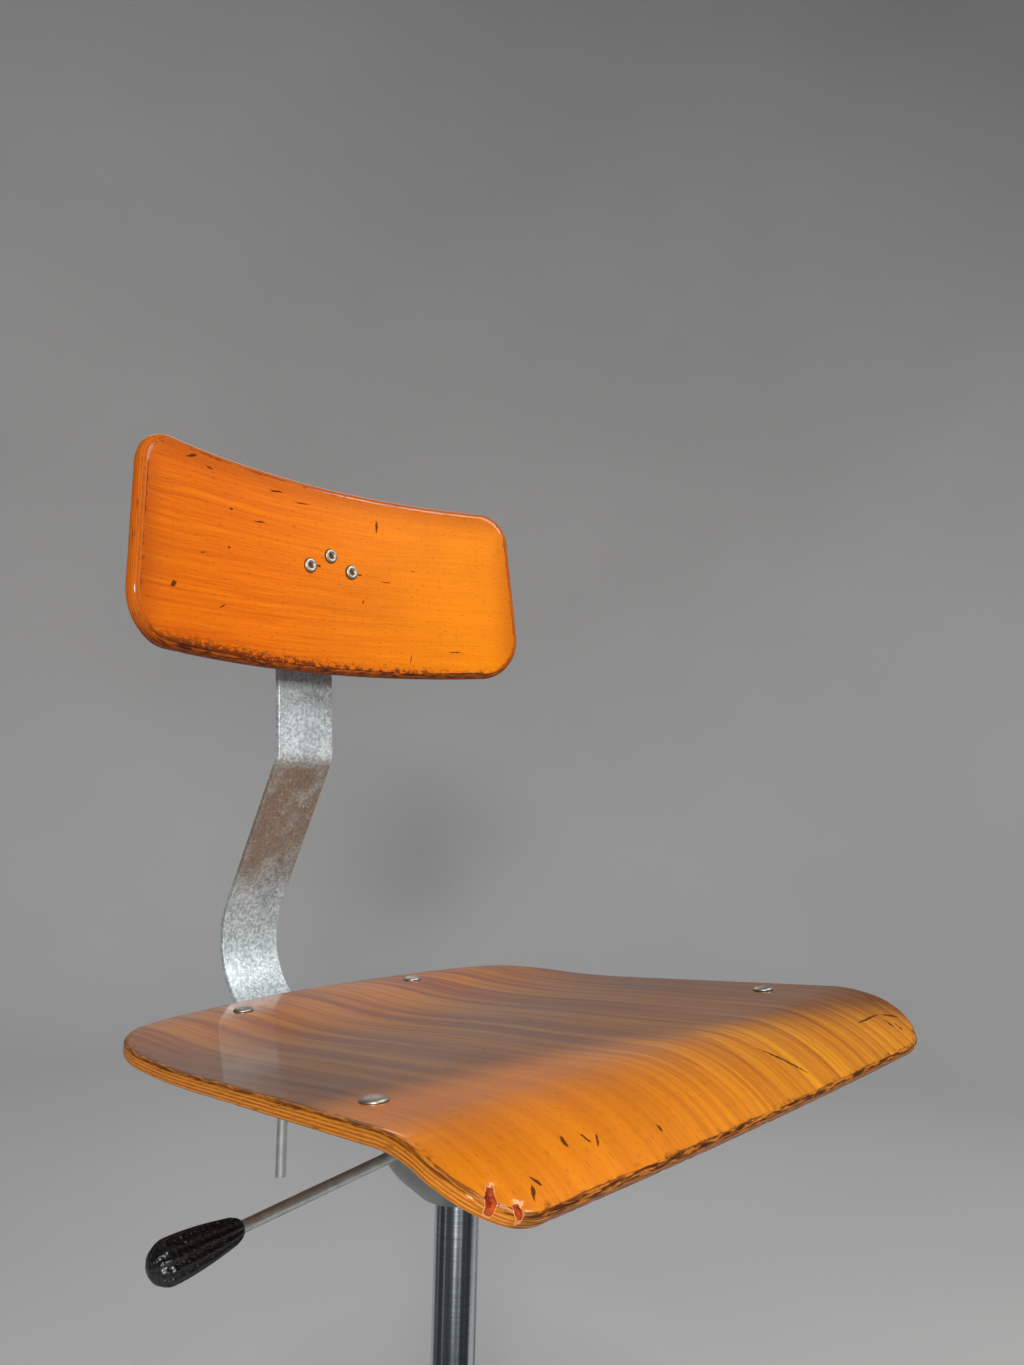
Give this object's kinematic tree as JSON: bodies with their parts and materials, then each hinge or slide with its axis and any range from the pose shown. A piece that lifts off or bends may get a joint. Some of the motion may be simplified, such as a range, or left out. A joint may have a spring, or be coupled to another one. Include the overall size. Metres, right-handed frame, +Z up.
{
  "type": "drafting chair",
  "caption": "Height-adjustable drafting chair with a bent-plywood seat and curved backrest on a bent steel strip, release lever, gas column, foot ring and cross base.",
  "frame": {"origin": "on the floor, on the column's axis", "axes": "+Z up along the column; -Y the way the sitter faces; +X the sitter's left"},
  "size_m": [0.64, 0.64, 0.9944],
  "materials": {
    "seat_ply": "varnished beech plywood, worn",
    "back_ply": "varnished beech plywood, glossy",
    "galvanised": "zinc-coated steel strip, mottled",
    "zinc": "zinc-plated steel",
    "chrome": "bright ground and plated steel",
    "gray_enamel": "grey stove enamel, semi-gloss",
    "black_enamel": "black stove enamel",
    "black_plastic": "moulded black plastic, glossy",
    "nylon": "black nylon, matt",
    "rubber": "black rubber"
  },
  "bodies": {
    "base": {"base_hub": "gray_enamel", "leg_1": "gray_enamel", "leg_2": "gray_enamel", "leg_3": "gray_enamel", "leg_4": "gray_enamel", "glide_1": "nylon", "glide_2": "nylon", "glide_3": "nylon", "glide_4": "nylon", "stand_tube": "gray_enamel", "guide_bush": "nylon", "rod_anchor_plate": "zinc", "thrust_washer": "zinc", "rod_bumper": "rubber", "rod_clip": "zinc", "gas_rod": "chrome", "gas_piston": "zinc"},
    "foot_rest": {"foot_ring": "chrome", "foot_ring_collar": "gray_enamel", "foot_ring_spoke_1": "chrome", "foot_ring_spoke_2": "chrome", "foot_ring_spoke_3": "chrome"},
    "foot_rest_clamp": {"foot_ring_screw": "zinc", "foot_ring_knob": "black_plastic"},
    "column": {"pressure_tube": "chrome", "tube_gland": "zinc", "valve_plug": "zinc"},
    "release": {"release_pin": "zinc"},
    "seat": {"seat_shell": "seat_ply", "seat_rivet_front_right": "zinc", "seat_rivet_front_left": "zinc", "seat_rivet_rear_right": "zinc", "seat_rivet_rear_left": "zinc", "front_crossbar": "gray_enamel", "rear_crossbar": "gray_enamel", "centre_channel": "gray_enamel", "guide_bolt": "zinc", "bowl_cover": "gray_enamel", "mechanism_bowl": "gray_enamel", "column_socket": "zinc", "lever_bracket": "zinc", "lever_pin": "zinc"},
    "lever": {"lever_arm": "zinc", "lever_grip": "black_plastic"},
    "strip": {"back_strip": "galvanised", "strip_stop_pin": "zinc"},
    "strip_clamp": {"clamp_rod": "zinc", "clamp_cam": "zinc"},
    "slider": {"height_sleeve": "black_enamel", "hinge_pin": "zinc"},
    "slider_clamp": {"back_screw": "zinc", "back_knob": "black_plastic"},
    "backrest": {"backrest_board": "back_ply", "bracket_plate": "black_enamel", "back_rivet_1": "zinc", "back_rivet_2": "zinc", "back_rivet_3": "zinc"}
  },
  "joints": [
    {"name": "seat_height", "type": "slide", "parent": "base", "child": "column", "axis": [0, 0, 1], "range_m": [-0.118, 0.08]},
    {"name": "seat_swivel", "type": "hinge", "parent": "column", "child": "seat", "pos_m": [0, 0, 0.5125], "axis": [0, 0, 1], "continuous": true},
    {"name": "lever_lift", "type": "hinge", "parent": "seat", "child": "lever", "pos_m": [-0.024, 0, 0.55396], "axis": [0, 1, 0], "range_deg": [0, 5], "stiffness_Nm_per_rad": 25, "springref_deg": -1.15},
    {"name": "release_press", "type": "slide", "parent": "column", "child": "release", "axis": [0, 0, 1], "range_m": [-0.0022, 0]},
    {"name": "foot_rest_height", "type": "slide", "parent": "base", "child": "foot_rest", "axis": [0, 0, 1], "range_m": [-0.06, 0.08]},
    {"name": "foot_rest_screw", "type": "hinge", "parent": "foot_rest", "child": "foot_rest_clamp", "pos_m": [0, 0.05, 0.235], "axis": [0, 1, 0], "range_deg": [0, 360]},
    {"name": "strip_depth", "type": "slide", "parent": "seat", "child": "strip", "axis": [0, 0.9964, -0.0849], "range_m": [-0.02, 0.02]},
    {"name": "strip_clamp_turn", "type": "hinge", "parent": "seat", "child": "strip_clamp", "pos_m": [0, 0.12, 0.58283], "axis": [1, 0, 0], "range_deg": [0, 75]},
    {"name": "back_height", "type": "slide", "parent": "strip", "child": "slider", "axis": [0, 0.0698, 0.9976], "range_m": [-0.035, 0.025]},
    {"name": "back_screw_turn", "type": "hinge", "parent": "slider", "child": "slider_clamp", "pos_m": [0, 0.18801, 0.90335], "axis": [0, 0.9976, -0.0698], "range_deg": [0, 360]},
    {"name": "back_tilt", "type": "hinge", "parent": "slider", "child": "backrest", "pos_m": [0, 0.17349, 0.90436], "axis": [1, 0, 0], "range_deg": [-8, 8]}
  ],
  "couplings": [
    {"joint": "release_press", "follows": "lever_lift", "m_per_rad": -0.024}
  ]
}
